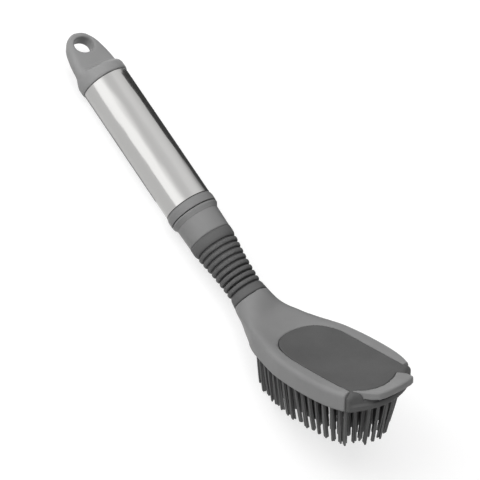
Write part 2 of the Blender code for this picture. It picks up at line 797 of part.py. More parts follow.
def make_head_inlay():
    """Rubber inlay in one moulding: pad, notches and bumper around the lip and its nose."""
    inlay = pad_solid(0)
    inlay.name = "head_inlay"
    combine(inlay, bumper_solid(), "UNION")
    combine(inlay, nose_solid(SEAT_GAP), "DIFFERENCE")
    return combine(inlay, lip_solid(SEAT_GAP), "DIFFERENCE")


def seat_front(y):
    """Forward reach of the bristle backing's seat at a place across it."""
    return front_edge(y) - BUMPER_THICKNESS - SEAT_GAP - FRONT_WALL


def seat_outline(inset):
    """Outline in plan of the bristle backing's seat, inset from the foot of the head."""
    wall = RIM_WALL + inset
    rear = -HEAD_LENGTH
    corner = -RIM_SETBACK - FRONT_WALL - inset
    rear_half = head_half_width(rear) - wall
    right = [Vector((rear - SEAT_OVERHANG + inset, rear_half - SEAT_REAR_INSET))]
    for k in range(HEAD_RINGS + 1):
        x = rear + (corner - rear) * k / HEAD_RINGS
        right.append(Vector((x, head_half_width(x) - wall)))
    shoulder = NOSE_HALF - FRONT_WALL - inset
    right.append(Vector((corner, shoulder)))
    for k in range(ROUND_STEPS * 2):
        y = shoulder * (1 - k / (ROUND_STEPS * 2))
        right.append(Vector((seat_front(y) - inset, y)))
    centre = Vector((seat_front(0) - inset, 0))
    left = [Vector((p.x, -p.y)) for p in reversed(right)]
    return right + [centre] + left


def plate_solid(inset, low, high):
    """Plate between two heights, inset from the seat's outline."""
    outline = seat_outline(inset)
    return skin("plate", [[Vector((p.x, p.y, z)) for p in outline] for z in (low, high)])


def make_brush_body():
    """Body in one moulding: tang, shank, core of the grip, neck, head tray, nose and lip."""
    core_top = GRIP_BORE_TOP - SEAT_GAP
    core_low = GRIP_BORE_LOW - SEAT_GAP
    shank_low = SHANK_LOW_DIAMETER / 2
    shoulder = SHOULDER_DIAMETER / 2
    seam = X_SHANK_TOP + SEAT_GAP
    rib_start = X_TUBE_LOW - SPIGOT_LENGTH - SEAT_GAP
    lead = X_TANG_END + TANG_CHAMFER
    shank_radius = SHANK_DIAMETER / 2
    handle_rings = [
        oval_ring(X_TANG_END, TANG_RADIUS, TANG_RADIUS),
        ribbed_ring(lead, TANG_RADIUS, FIT_RADIUS, TANG_RIB_COUNT),
        ribbed_ring(rib_start, TANG_RADIUS, FIT_RADIUS, TANG_RIB_COUNT),
        oval_ring(rib_start, TANG_RADIUS, TANG_RADIUS),
        oval_ring(seam, TANG_RADIUS, TANG_RADIUS),
        oval_ring(seam, shoulder, shoulder),
    ]
    for k in range(ROUND_STEPS + 1):
        angle = math.pi / 2 * k / ROUND_STEPS
        x = seam + SHOULDER_LENGTH - SHOULDER_ROUNDING * (1 - math.sin(angle))
        radius = shoulder - SHOULDER_ROUNDING * (1 - math.cos(angle))
        handle_rings.append(oval_ring(x, radius, radius))
    shank_start = seam + SHOULDER_LENGTH
    for k in range(WALL_STEPS + 1):
        share = k / WALL_STEPS
        radius = shank_radius + (shank_low - shank_radius) * share
        x = shank_start + (X_GRIP_TOP - shank_start) * share
        handle_rings.append(oval_ring(x, radius, radius))
    handle_rings.append(oval_ring(X_GRIP_TOP, core_top, core_top))
    handle_rings.append(oval_ring(0, core_low, core_low))
    rings = [[HANDLE_TO_HEAD @ point for point in ring] for ring in handle_rings]
    rings += [neck_ring(k / NECK_RINGS) for k in range(NECK_RINGS)]
    for k in range(HEAD_RINGS + 1):
        x = -HEAD_LENGTH + (HEAD_LENGTH - RIM_SETBACK) * k / HEAD_RINGS
        rings.append(tray_ring(x))
    body = skin("brush_body", rings)
    combine(body, pad_solid(SEAT_GAP), "DIFFERENCE")
    combine(body, combine(nose_solid(0), lip_solid(0), "UNION"), "UNION")
    combine(body, plate_solid(0, -CUT_OVERRUN, SEAT_DEPTH), "DIFFERENCE")
    bore = TANG_BORE / 2
    hollow = [[HANDLE_TO_HEAD @ point for point in oval_ring(x, bore, bore)]
              for x in (X_TANG_END - CUT_OVERRUN, X_TUBE_LOW)]
    return combine(body, skin("tang_cutter", hollow), "DIFFERENCE")


# Bristles

def rest_plane():
    """Point and normal, in the head frame, of the floor below the cap's collar and rear tips."""
    collar = HANDLE_TO_HEAD @ Vector((X_TUBE_TOP, 0, -CAP_RADIUS))
    tip_place = row_place(ROW_COUNT - 1) + REAR_LEAN
    tip = Vector((tip_place, 0, -BRISTLE_LENGTH + TIP_TRIM))
    along = (tip - collar).normalized()
    return collar, Vector((-along.z, 0, along.x))


def row_place(row):
    """Place of a row of tufts along the head."""
    front = seat_front(0) - SEAT_GAP - FIRST_ROW_SETBACK
    rear = -HEAD_LENGTH - SEAT_OVERHANG + SEAT_GAP + LAST_ROW_SETBACK
    return front + (rear - front) * row / (ROW_COUNT - 1)


def outline_half_width(outline, x):
    """Half-width of a closed outline at a place along the head."""
    widest = 0
    for i in range(len(outline)):
        a, b = outline[i - 1], outline[i]
        if (a.x - x) * (b.x - x) <= 0 and a.x != b.x:
            y = a.y + (b.y - a.y) * (x - a.x) / (b.x - a.x)
            widest = max(widest, y)
    return widest


def strand(bm, root, tip, angle):
    """Three-sided strand from its root to its tip, which ends on the floor or above it."""
    point, normal = rest_plane()
    corners = []
    for side in range(STRAND_SIDES):
        turn = angle + 2 * math.pi * side / STRAND_SIDES
        corners.append(Vector((math.cos(turn), math.sin(turn), 0)) * STRAND_WIDTH / 2)
    run = tip - root
    near = [bm.verts.new(root + corner) for corner in corners]
    far = []
    for corner in corners:
        end = root + corner + run
        below = (end - point).dot(normal)
        if below < 0:
            end -= run * (below / run.dot(normal))
        far.append(bm.verts.new(end))
    bm.faces.new(near)
    bm.faces.new(far)
    for i in range(STRAND_SIDES):
        j = (i + 1) % STRAND_SIDES
        bm.faces.new((near[i], near[j], far[j], far[i]))


def front_share(x):
    """1 at the first row, falling to 0 behind the front rows."""
    field = row_place(0) - row_place(ROW_COUNT - 1)
    return max(1 - (row_place(0) - x) / (field * FRONT_LEAN_SHARE), 0)


def bowed(x, y):
    """Place along the head of a row's point; the front rows bow with the head's front edge."""
    fade = 1 - (row_place(0) - x) / BOW_FADE
    return x - ROW_BOW * min(max(fade, 0), 1) * (y / RIM_END_HALF) ** 2


def row_strip(x, reach):
    """Block across the head that cuts one row's slice out of the backing."""
    half = (row_place(0) - row_place(1) - SEAT_GAP) / 2
    low = -CUT_OVERRUN
    high = SEAT_DEPTH + CUT_OVERRUN
    rings = []
    for k in range(NOSE_RINGS + 1):
        y = reach * (2 * k / NOSE_RINGS - 1)
        rear = bowed(x - half, y)
        front = bowed(x + half, y)
        rings.append([Vector((rear, y, low)), Vector((front, y, low)),
                      Vector((front, y, high)), Vector((rear, y, high))])
    return skin("strip", rings)


def row_half_width(outline, x):
    """Half-width of a row between the sides of the seat, along the row's bow."""
    tuft_half = STRAND_OFFSET + STRAND_WIDTH / 2
    half = HEAD_WIDTH / 2
    for _ in range(ROW_FIT_STEPS):
        place = bowed(x, half)
        half = min(outline_half_width(outline, place - tuft_half),
                   outline_half_width(outline, place + tuft_half))
    return half


def make_tuft_row(row):
    """Slice of the backing with one row of tufts across the head."""
    name = f"tuft_row_{row + 1:02d}"
    chance = random.Random(row)
    x = row_place(row)
    backing = plate_solid(SEAT_GAP, BACKING_LIFT, SEAT_DEPTH - SEAT_GAP)
    backing.name = name
    reach = HEAD_WIDTH / 2 if row else NOSE_HALF - FRONT_WALL - SEAT_GAP * 2
    combine(backing, row_strip(x, reach), "INTERSECT")
    front = front_share(x)
    limit = row_half_width(seat_outline(SEAT_GAP), x) - TUFT_MARGIN - FRONT_MARGIN * front
    count = max(int(2 * limit / TUFT_PITCH), 1) + 1
    bm = bmesh.new()
    for k in range(count):
        y = limit * (2 * k / (count - 1) - 1)
        place = bowed(x, y)
        lean_on = REAR_LEAN * (1 - front) - FRONT_LEAN * front
        outward = y / (HEAD_WIDTH / 2)
        lean_in = SIDE_LEAN * outward + FRONT_SWEEP * front * (1 + outward) / 2
        tuft_turn = chance.uniform(0, math.pi)
        for n in range(STRANDS_PER_TUFT):
            angle = tuft_turn + 2 * math.pi * n / STRANDS_PER_TUFT
            offset = Vector((math.cos(angle), math.sin(angle), 0)) * STRAND_OFFSET
            root = Vector((place, y, BACKING_LIFT + FUSE_DEPTH)) + offset
            spread = offset * (1 + TUFT_SPLAY_SHARE * chance.random())
            drop = BRISTLE_LENGTH + BRISTLE_UNEVENNESS * chance.uniform(-1, 1)
            tip = Vector((place + lean_on, y - lean_in, -drop)) + spread
            strand(bm, root, tip, angle)
    return combine(backing, object_from("strands", bm), "UNION")


# Assembly

def lay_down(brush, pieces):
    """Turn the brush until it rests level, and bring its box onto the origin."""
    point, normal = rest_plane()
    head_to_handle = HANDLE_TO_HEAD.inverted().to_3x3()
    up = head_to_handle @ normal
    brush.rotation_euler.y = -math.atan2(up.x, up.z)
    bpy.context.view_layer.update()
    corners = []
    for piece in pieces:
        corners += [piece.matrix_world @ vertex.co for vertex in piece.data.vertices]
    low_x = min(corner.x for corner in corners)
    high_x = max(corner.x for corner in corners)
    low_y = min(corner.y for corner in corners)
    high_y = max(corner.y for corner in corners)
    low_z = min(corner.z for corner in corners)
    brush.location = (-(low_x + high_x) / 2, -(low_y + high_y) / 2, -low_z)
    bpy.context.view_layer.update()


def main():
    for item in list(bpy.context.scene.objects):
        bpy.data.objects.remove(item)
    brush = bpy.data.objects.new("brush", None)
    head = bpy.data.objects.new("head", None)
    for empty in (brush, head):
        bpy.context.scene.collection.objects.link(empty)
    head.parent = brush
    head.matrix_local = HANDLE_TO_HEAD.inverted()

    steel = material("stainless_steel", (0.62, 0.61, 0.59), 0.22, 1.0)
    plastic = material("grey_plastic", (0.24, 0.24, 0.24), 0.45)
    collar_plastic = material("collar_plastic", (0.24, 0.24, 0.24), 0.45)
    cap_plastic = material("cap_plastic", (0.26, 0.26, 0.26), 0.45)
    grip_rubber = material("grip_rubber", (0.12, 0.12, 0.12), 0.75)
    pad_rubber = material("pad_rubber", (0.1, 0.1, 0.1), 0.75)
    filament = material("bristle_filament", (0.07, 0.07, 0.07), 0.5)

    pieces = [
        finish_piece(make_end_cap(), brush, cap_plastic),
        finish_piece(make_handle_tube(), brush, steel),
        finish_piece(make_tube_collar(), brush, collar_plastic),
        finish_piece(make_neck_grip(), brush, grip_rubber),
        finish_piece(make_brush_body(), head, plastic),
        finish_piece(make_head_inlay(), head, pad_rubber),
    ]
    for row in range(ROW_COUNT):
        pieces.append(finish_piece(make_tuft_row(row), head, filament.copy()))
    lay_down(brush, pieces)


main()
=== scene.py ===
"""Scene of the dish brush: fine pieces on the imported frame, materials, floor, light and camera."""
import math
import random

import bmesh
import bpy
from mathutils import Matrix, Vector


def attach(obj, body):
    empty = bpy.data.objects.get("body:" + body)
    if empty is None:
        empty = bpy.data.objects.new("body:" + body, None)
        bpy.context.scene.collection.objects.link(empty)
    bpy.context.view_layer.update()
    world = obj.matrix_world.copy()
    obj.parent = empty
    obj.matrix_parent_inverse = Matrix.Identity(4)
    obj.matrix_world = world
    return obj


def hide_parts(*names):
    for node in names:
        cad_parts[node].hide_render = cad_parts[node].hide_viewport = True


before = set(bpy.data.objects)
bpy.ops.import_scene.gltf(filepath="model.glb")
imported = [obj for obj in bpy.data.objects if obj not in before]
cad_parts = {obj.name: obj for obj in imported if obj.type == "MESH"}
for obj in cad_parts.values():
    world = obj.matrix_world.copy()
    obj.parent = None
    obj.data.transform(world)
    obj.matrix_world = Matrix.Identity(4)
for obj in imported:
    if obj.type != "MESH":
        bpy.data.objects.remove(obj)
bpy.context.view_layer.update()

MM = 0.001
WHITE = (1, 1, 1, 1)

# Camera at the photograph's viewing angle: what it aims at, from how far, and its angles
LENS = 187.577
CAMERA_TARGET = (11.467 * MM, 0, 39.003 * MM)
CAMERA_DISTANCE = 1347.879 * MM
CAMERA_AZIMUTH = math.radians(-70.6867)
CAMERA_ELEVATION = math.radians(50.9318)
CAMERA_ROLL = math.radians(41.6209)

# Head frame in the row frame: its origin, and the cosine and sine of the angle that raises its front
HEAD_X = 126.618 * MM
HEAD_Z = 65.546 * MM
HEAD_COSINE = 0.788422
HEAD_SINE = 0.615134

# Handle frame in the head frame, from the same sizes as in the part's source
HEAD_LENGTH = 75.0 * MM
NECK_RUN = 23.3 * MM
NECK_RISE = 17.3 * MM
HEAD_PITCH = math.radians(36.36)

# Turned pieces; stations on the handle's axis are 0 at the grip's lower end and fall upwards
TUBE_LENGTH = 84.7 * MM
TUBE_RADIUS = 13.85 * MM
TUBE_WALL = 0.6 * MM
TUBE_CORNER = 0.2 * MM
COLLAR_LENGTH = 5.7 * MM
COLLAR_RADIUS = 14.35 * MM
COLLAR_FLARE = 1.9 * MM
COLLAR_BORE = 10.0 * MM
COLLAR_CORNER = 0.5 * MM
SPIGOT_LENGTH = 6.0 * MM
SPIGOT_RADIUS = 12.4 * MM
SHANK_LENGTH = 16.5 * MM
GRIP_LENGTH = 40.6 * MM
GAP = 0.3 * MM
TURN_STEPS = 128
CORNER_STEPS = 4
# Largest share of a side that the rounding of one corner takes
CORNER_SHARE = 0.45
# Weight of the large faces in the normals of a turned piece
NORMAL_WEIGHT = 80

# Soft shoulder on the shank, below the collar
SHOULDER_SETBACK = 0.9 * MM
SHOULDER_RADIUS = 14.27 * MM
FILLET_LENGTH = 3.0 * MM
FILLET_LOW_RADIUS = 12.91 * MM
FILLET_THICKNESS = 1.6 * MM
FILLET_STEPS = 12

# Grip: plain bands at its ends, and beads between grooves
GRIP_RADIUS = 12.75 * MM
GRIP_TOP_BAND = 6.5 * MM
GRIP_BORE_TOP = 9.9 * MM
GRIP_BORE_LOW = 7.8 * MM
BAND_STEPS = 4
GROOVE_COUNT = 9
GROOVE_PITCH = 3.53 * MM
GROOVE_DEPTH = 1.7 * MM
GROOVE_HALF = 0.62 * MM
EDGE_DROP = 0.5 * MM
# Radius of the grip against its length, from its lower end to its top
GRIP_RADIUS_SHARES = (
    (0.0, 0.825), (0.08, 0.785), (0.14, 0.776), (0.25, 0.785), (0.4, 0.815), (0.55, 0.856),
    (0.7, 0.915), (0.82, 0.965), (0.92, 0.997), (1.0, 0.996),
)
# Section of a groove: place across it, and share of its depth
GROOVE_SHARES = ((-0.85, 0.7), (-0.55, 1.0), (0.55, 1.0), (0.85, 0.7))
# Section of a bead: place across it, and share of the drop at its edges
BEAD_SHARES = ((0.0, 1.0), (0.1, 0.45), (0.25, 0.12), (0.5, 0.0), (0.75, 0.12), (0.9, 0.45), (1.0, 1.0))

# Moulded pieces: vertices closer than the weld are one, and the swell narrows the inlay's seams
WELD = 0.01 * MM
VOXEL = 0.5 * MM
BODY_VOXEL = 0.57 * MM
INLAY_SWELL = 0.25 * MM
SMOOTH_FACTOR = 0.5
EDGE_ROUNDS = 2

# Eased stretches of the neck and of the tray's sides: middle along the head, reach and start
NECK_EASE_PLACE = -80 * MM
NECK_EASE_REACH = 11 * MM
NECK_EASE_LOW = 1.5 * MM
NECK_EASE_GAIN = 1.3
NECK_ROUNDS = 90
SIDE_EASE_PLACE = -72 * MM
SIDE_EASE_REACH = 20 * MM
SIDE_START = 14 * MM

# Bristles. In the head frame, the backing's face is at its level, and only tips lie below theirs
BACKING_FACE = 0.7 * MM
TIP_LEVEL = -15.0 * MM
# Lowest height of a filament's tip above the floor
FLOOR_ROOM = 0.9 * MM
TUFT_SPACING = 1.2 * MM
EDGE_FILAMENTS = 5
INNER_FILAMENTS = 7
# Radius of a tuft at its root and at its tip
EDGE_TUFT_RADII = (0.75 * MM, 0.85 * MM)
INNER_TUFT_RADII = (1.0 * MM, 1.5 * MM)
INNER_TRIM = 2.0 * MM
TUFT_LEAN = 0.35 * MM
TIP_SCATTER = 0.7 * MM
TIP_SCATTER_ACROSS = 0.35 * MM
# Turn from one filament of a tuft to the next, in radians, and its scatter
FILAMENT_TURN = 2.4
FILAMENT_TURN_SCATTER = 0.3
# Share of the tuft's lean by which its filaments bow
BOW_SHARE = 0.15
FILAMENT_RADIUS = 0.6 * MM
FILAMENT_SIDES = 8
FILAMENT_STEPS = 7
# Rings of a filament's rounded end: size, and step past the tip, as shares of its radius
FILAMENT_END_SHARES = ((0.8, 0.45), (0.35, 0.85))

# Materials. A noise is scale, detail, roughness and stretch; a bump is strength and distance
EDGE_RADIUS = 0.5 * MM
EDGE_SAMPLES = 6
# Values of a noise between which a material goes from its first value to its second
NOISE_ENDS = (0.3, 0.7)
# Openness of a gap where its painted shade is deepest, and where it ends
GAP_ENDS = (0.25, 0.6)

# Plastics
CAP_TONES = (0.228, 0.252)
BODY_TONES = (0.195, 0.218)
COLLAR_TONES = (0.175, 0.195)
PLASTIC_CLOUD = (45, 3)
PLASTIC_GRAIN = (2600, 2)
PLASTIC_ROUGHNESS = (0.36, 0.48)
PLASTIC_SPECULAR = 0.28
PLASTIC_BUMP = (0.12, 0.06 * MM)

# Rubbers: tones, share that specks take away, reach of the painted shade in gaps, and share left there
# Reach of the painted shade in the grip's grooves, and under the lip on the inlay's bumper
GROOVE_SHADE_REACH = 2.2 * MM
BUMPER_SHADE_REACH = 8.0 * MM
GRIP_RUBBER = ((0.108, 0.136), 0.5, GROOVE_SHADE_REACH, 0.2)
BAND_RUBBER = ((0.094, 0.104), 0.1, GROOVE_SHADE_REACH, 0.5)
INLAY_RUBBER = ((0.07, 0.085), 0.1, BUMPER_SHADE_REACH, 0.45)
RUBBER_CLOUD = (60, 4)
RUBBER_SPECKS = (1300, 2, 0.7)
RUBBER_GRAIN = (3400, 3, 0.6)
RUBBER_ROUGHNESS = (0.66, 0.8)
RUBBER_BUMP = (0.2, 0.08 * MM)

# Steel
STEEL_TONES = ((0.455, 0.452, 0.445), (0.49, 0.487, 0.48))
STEEL_CLOUD = (30, 3, 0.5, (0.3, 1, 1))
STEEL_LINES = (900, 3, 0.6, (0.015, 1, 1))
STEEL_WAVES = (75, 2, 0.5, (0.3, 1, 1))
STEEL_ROUGHNESS = (0.1, 0.2)
STEEL_WAVE_BUMP = (0.5, 1.5 * MM)
STEEL_LINE_BUMP = (0.05, 0.03 * MM)

# Nylon: shade of a filament against its own random number
NYLON_STOPS = ((0.0, 0.035), (0.5, 0.06), (1.0, 0.09))
NYLON_STREAKS = (1500, 2, 0.5, (1, 1, 0.1))
NYLON_ROUGHNESS = (0.36, 0.5)
NYLON_BUMP = (0.1, 0.04 * MM)
# Painted shade deep inside the tufts: its reach, and the share of the colour left there
TUFT_SHADE_REACH = 5.0 * MM
TUFT_SHADE_SHARE = 0.3

# Floor: the paint that lights the part, and the one that camera and reflections see
FLOOR_HALF = 6.0
FLOOR_COLOUR = (0.6, 0.6, 0.6)
FLOOR_ROUGHNESS = 0.9
FLOOR_SPECULAR = 0.2
SEEN_FLOOR_COLOUR = (0.42, 0.42, 0.42)
SEEN_FLOOR_GLOW = 0.67

# Posts of the dark flags: place along the handle, across it, and height
FLAG_POSTS = (
    (-118 * MM, 34 * MM, 44 * MM),
    (-24 * MM, 26 * MM, 29 * MM),
    (55 * MM, 38 * MM, 45 * MM),
)
FLAG_COLOUR = (0.1, 0.1, 0.1)
FLAG_LIFT = 1 * MM

# Level cards, below the tube and in front of it: ends along the handle, and edges across it
# The shade card is painted shadow: a grey sheet where the floor is shaded under the tube, seen only in
# reflections
SHADE_COLOUR = (0.5, 0.5, 0.5)
SHADE_ENDS = (-124 * MM, -38 * MM)
SHADE_EDGES = (-13 * MM, 10 * MM)
SHADE_LIFT = 0.3 * MM
APRON_COLOUR = (0.42, 0.42, 0.42)
APRON_GLOW = 0.51
APRON_ENDS = (-600 * MM, 150 * MM)
APRON_EDGES = (-1500 * MM, -13 * MM)
APRON_LIFT = 0.2 * MM

# Soft light on the part: where it comes from, and its level from away from there to towards it
SOFT_SIDE = (-0.15, -0.6, 0.79)
SOFT_STOPS = ((0.0, 0.42), (0.35, 0.6), (1.0, 0.95))
SOFT_STRENGTH = 0.5
# What reflections see, from the far horizon over the top to the near one
GLOSS_STOPS = (
    (0.0, 0.04), (0.06, 0.2), (0.12, 0.44), (0.18, 0.52), (0.3, 0.6), (0.4, 0.61), (0.475, 0.55),
    (0.554, 0.51), (0.632, 0.53), (0.7, 0.66), (0.786, 0.93), (0.9, 0.96), (0.97, 0.92), (1.0, 0.85),
)
GLOSS_STRENGTH = 2.0

# Lamps: name, place, size in metres and power in watts
LAMPS = (
    ("key", (-0.65, -1.0, 1.15), 0.8, 13.8),
    ("top", (-0.35, -0.3, 1.5), 1.0, 10),
)
LAMP_TARGET = (0, 0, 0.03)

# Worked out from the values above
HEAD_PLACE = Matrix((
    (HEAD_COSINE, 0, -HEAD_SINE, HEAD_X),
    (0, 1, 0, 0),
    (HEAD_SINE, 0, HEAD_COSINE, HEAD_Z),
    (0, 0, 0, 1),
))
HANDLE_TO_HEAD = (Matrix.Translation((-HEAD_LENGTH - NECK_RUN, 0, NECK_RISE))
                  @ Matrix.Rotation(HEAD_PITCH, 4, "Y"))
HANDLE_PLACE = HEAD_PLACE @ HANDLE_TO_HEAD
GRIP_TOP = -GRIP_LENGTH
SHANK_TOP = GRIP_TOP - SHANK_LENGTH
TUBE_LOW = SHANK_TOP - COLLAR_LENGTH
TUBE_TOP = TUBE_LOW - TUBE_LENGTH
FIRST_GROOVE = GRIP_TOP + GRIP_TOP_BAND
LAST_GROOVE = FIRST_GROOVE + GROOVE_PITCH * (GROOVE_COUNT - 1)
TOP_BAND_END = FIRST_GROOVE - GROOVE_HALF
LOW_BAND_START = LAST_GROOVE + GROOVE_HALF


# Materials

def new_material(name):
    """Material with a fresh Principled BSDF, and its node tree and shader."""
    finish = bpy.data.materials.new(name)
    finish.use_nodes = True
    tree = finish.node_tree
    return finish, tree, tree.nodes["Principled BSDF"]


def noise(tree, scale, detail, roughness=0.5, stretch=(1, 1, 1)):
    """Value of a noise in object space; stretch is a scale along each axis."""
    coords = tree.nodes.new("ShaderNodeTexCoord")
    mapping = tree.nodes.new("ShaderNodeMapping")
    mapping.inputs["Scale"].default_value = stretch
    texture = tree.nodes.new("ShaderNodeTexNoise")
    texture.inputs["Scale"].default_value = scale
    texture.inputs["Detail"].default_value = detail
    texture.inputs["Roughness"].default_value = roughness
    tree.links.new(coords.outputs["Object"], mapping.inputs["Vector"])
    tree.links.new(mapping.outputs["Vector"], texture.inputs["Vector"])
    return texture.outputs["Fac"]


def ramp(tree, value, stops):
    """Colour of a ramp at a value; stops are (place, grey or colour)."""
    node = tree.nodes.new("ShaderNodeValToRGB")
    elements = node.color_ramp.elements
    # New elements start halfway, and the loop below gives each one its place
    while len(elements) < len(stops):
        elements.new(0.5)
    for element, (place, colour) in zip(elements, stops):
        element.position = place
        if isinstance(colour, (int, float)):
            colour = (colour, colour, colour)
        element.color = (*colour, 1)
    tree.links.new(value, node.inputs["Fac"])
    return node.outputs["Color"]


def spread(tree, texture, values):
    """First and second value of a material, spread over a noise."""
    return ramp(tree, texture, tuple(zip(NOISE_ENDS, values)))


def times(tree, first, second):
    """Product of two colours."""
    node = tree.nodes.new("ShaderNodeMix")
    node.data_type = "RGBA"
    node.blend_type = "MULTIPLY"
    node.inputs["Factor"].default_value = 1.0
    tree.links.new(first, node.inputs["A"])
    tree.links.new(second, node.inputs["B"])
    return node.outputs["Result"]


def painted_gap_shade(tree, reach, deep_share):
    """Painted shade: the colour falls to a share of itself in narrow gaps, where shade falls."""
    depth = tree.nodes.new("ShaderNodeAmbientOcclusion")
    depth.inputs["Distance"].default_value = reach
    return ramp(tree, depth.outputs["AO"], tuple(zip(GAP_ENDS, (deep_share, 1.0))))


def soft_edges(tree):
    """Normals rounded over the edges."""
    node = tree.nodes.new("ShaderNodeBevel")
    node.samples = EDGE_SAMPLES
    node.inputs["Radius"].default_value = EDGE_RADIUS
    return node.outputs["Normal"]


def bump(tree, texture, size, below=None):
    """Normals with a bump of (strength, distance), on top of other normals if there are any."""
    strength, distance = size
    node = tree.nodes.new("ShaderNodeBump")
    node.inputs["Strength"].default_value = strength
    node.inputs["Distance"].default_value = distance
    tree.links.new(texture, node.inputs["Height"])
    if below:
        tree.links.new(below, node.inputs["Normal"])
    return node.outputs["Normal"]


def link_surface(tree, shader, colour, roughness, normal):
    """Link what varies over a surface to its shader."""
    tree.links.new(colour, shader.inputs["Base Color"])
    tree.links.new(roughness, shader.inputs["Roughness"])
    tree.links.new(normal, shader.inputs["Normal"])


def plastic(name, tones):
    """Satin moulded plastic: a faint cloudy shade and a fine spark-eroded grain."""
    finish, tree, shader = new_material(name)
    shader.inputs["Specular IOR Level"].default_value = PLASTIC_SPECULAR
    colour = spread(tree, noise(tree, *PLASTIC_CLOUD), tones)
    grain = noise(tree, *PLASTIC_GRAIN)
    roughness = spread(tree, grain, PLASTIC_ROUGHNESS)
    normal = bump(tree, grain, PLASTIC_BUMP, soft_edges(tree))
    link_surface(tree, shader, colour, roughness, normal)
    return finish


def rubber(name, tones, speck_share, reach, deep_share):
    """Matt soft-touch rubber: cloudy, with specks and a fine grain, and painted shade deep in its gaps.
    """
    finish, tree, shader = new_material(name)
    colour = spread(tree, noise(tree, *RUBBER_CLOUD), tones)
    specks = spread(tree, noise(tree, *RUBBER_SPECKS), (1 - speck_share, 1.0))
    colour = times(tree, colour, specks)
    # Painted shade: darker deep in grooves and under overhangs, where shade falls
    colour = times(tree, colour, painted_gap_shade(tree, reach, deep_share))
    grain = noise(tree, *RUBBER_GRAIN)
    roughness = spread(tree, grain, RUBBER_ROUGHNESS)
    normal = bump(tree, grain, RUBBER_BUMP, soft_edges(tree))
    link_surface(tree, shader, colour, roughness, normal)
    return finish


def steel(name):
    """Polished stainless steel: faint lines along the tube, and a slightly uneven wall."""
    finish, tree, shader = new_material(name)
    shader.inputs["Metallic"].default_value = 1.0
    colour = spread(tree, noise(tree, *STEEL_CLOUD), STEEL_TONES)
    lines = noise(tree, *STEEL_LINES)
    roughness = spread(tree, lines, STEEL_ROUGHNESS)
    waves = bump(tree, noise(tree, *STEEL_WAVES), STEEL_WAVE_BUMP)
    normal = bump(tree, lines, STEEL_LINE_BUMP, waves)
    link_surface(tree, shader, colour, roughness, normal)
    return finish


def nylon(name):
    """Slightly glossy nylon: each filament has its own tone, faint streaks along it, and painted shade
    deep inside the tuft.
    """
    finish, tree, shader = new_material(name)
    info = tree.nodes.new("ShaderNodeNewGeometry")
    shade = ramp(tree, info.outputs["Random Per Island"], NYLON_STOPS)
    # Painted shade deep inside the tufts, on each filament's own tone
    colour = times(tree, shade, painted_gap_shade(tree, TUFT_SHADE_REACH, TUFT_SHADE_SHARE))
    streaks = noise(tree, *NYLON_STREAKS)
    roughness = spread(tree, streaks, NYLON_ROUGHNESS)
    normal = bump(tree, streaks, NYLON_BUMP)
    link_surface(tree, shader, colour, roughness, normal)
    return finish


cap_plastic = plastic("cap_plastic", CAP_TONES)
body_plastic = plastic("body_plastic", BODY_TONES)
collar_plastic = plastic("collar_plastic", COLLAR_TONES)
grip_rubber = rubber("grip_rubber", *GRIP_RUBBER)
band_rubber = rubber("band_rubber", *BAND_RUBBER)
inlay_rubber = rubber("inlay_rubber", *INLAY_RUBBER)
tube_steel = steel("tube_steel")
bristle_nylon = nylon("bristle_nylon")


# What all the pieces share

def new_object(name, bm):
    """Object in the scene with the mesh of a bmesh, which is freed."""
    mesh = bpy.data.meshes.new(name)
    bm.to_mesh(mesh)
    bm.free()
    made = bpy.data.objects.new(name, mesh)
    bpy.context.scene.collection.objects.link(made)
    return made


def finish_piece(piece, finish, node=None):
    """Smooth shading, finish and slot of a piece on the body, in place of a CAD node if it has one."""
    piece.data.shade_smooth()
    piece.data.materials.clear()
    piece.data.materials.append(finish)
    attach(piece, "root")
    if node:
        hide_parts(node)


def curve_point(start, bend, end, t):
    """Point of a quadratic curve at t, from 0 to 1."""
    return start * (1 - t) ** 2 + bend * 2 * t * (1 - t) + end * t * t


# Moulded pieces: fine copies of the CAD solids with their edges rounded as a mould leaves them

def moulded(name, node, finish, voxel=VOXEL, swell=0.0):
    """Fine mesh of a CAD node, a little swollen or not, with soft edges, in its place."""
    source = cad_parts[node]
    bm = bmesh.new()
    bm.from_mesh(source.data)
    bm.transform(source.matrix_world)
    bmesh.ops.remove_doubles(bm, verts=bm.verts[:], dist=WELD)
    bm.normal_update()
    for vertex in bm.verts:
        vertex.co += vertex.normal * swell
    piece = new_object(name, bm)
    coarse = piece.data
    remesh = piece.modifiers.new("remesh", "REMESH")
    remesh.mode = "VOXEL"
    remesh.voxel_size = voxel
    bpy.context.view_layer.update()
    graph = bpy.context.evaluated_depsgraph_get()
    piece.data = bpy.data.meshes.new_from_object(piece.evaluated_get(graph))
    piece.modifiers.clear()
    bpy.data.meshes.remove(coarse)
    piece.data.name = name
    soft = piece.modifiers.new("soft_edges", "SMOOTH")
    soft.factor = SMOOTH_FACTOR
    soft.iterations = EDGE_ROUNDS
    finish_piece(piece, finish, node)
    return piece


def ease_neck(piece):
    """Smooth the change from neck to tray, where the outline runs on without a kink."""
    group = piece.vertex_groups.new(name="neck")
    to_head = HEAD_PLACE.inverted() @ piece.matrix_world
    for vertex in piece.data.vertices:
        place = to_head @ vertex.co
        share = 1 - abs(place.x - NECK_EASE_PLACE) / NECK_EASE_REACH
        if abs(place.y) > SIDE_START:
            share = max(share, 1 - abs(place.x - SIDE_EASE_PLACE) / SIDE_EASE_REACH)
        if share > 0 and place.z > NECK_EASE_LOW:
            group.add([vertex.index], min(1, NECK_EASE_GAIN * share), "REPLACE")
    ease = piece.modifiers.new("ease_neck", "SMOOTH")
    ease.factor = SMOOTH_FACTOR
    ease.iterations = NECK_ROUNDS
    ease.vertex_group = group.name


moulded("fine_cap", "end_cap", cap_plastic)
ease_neck(moulded("fine_body", "brush_body", body_plastic, voxel=BODY_VOXEL))
moulded("fine_inlay", "head_inlay", inlay_rubber, swell=INLAY_SWELL)


# Turned pieces, in the handle frame, whose X axis is the handle's

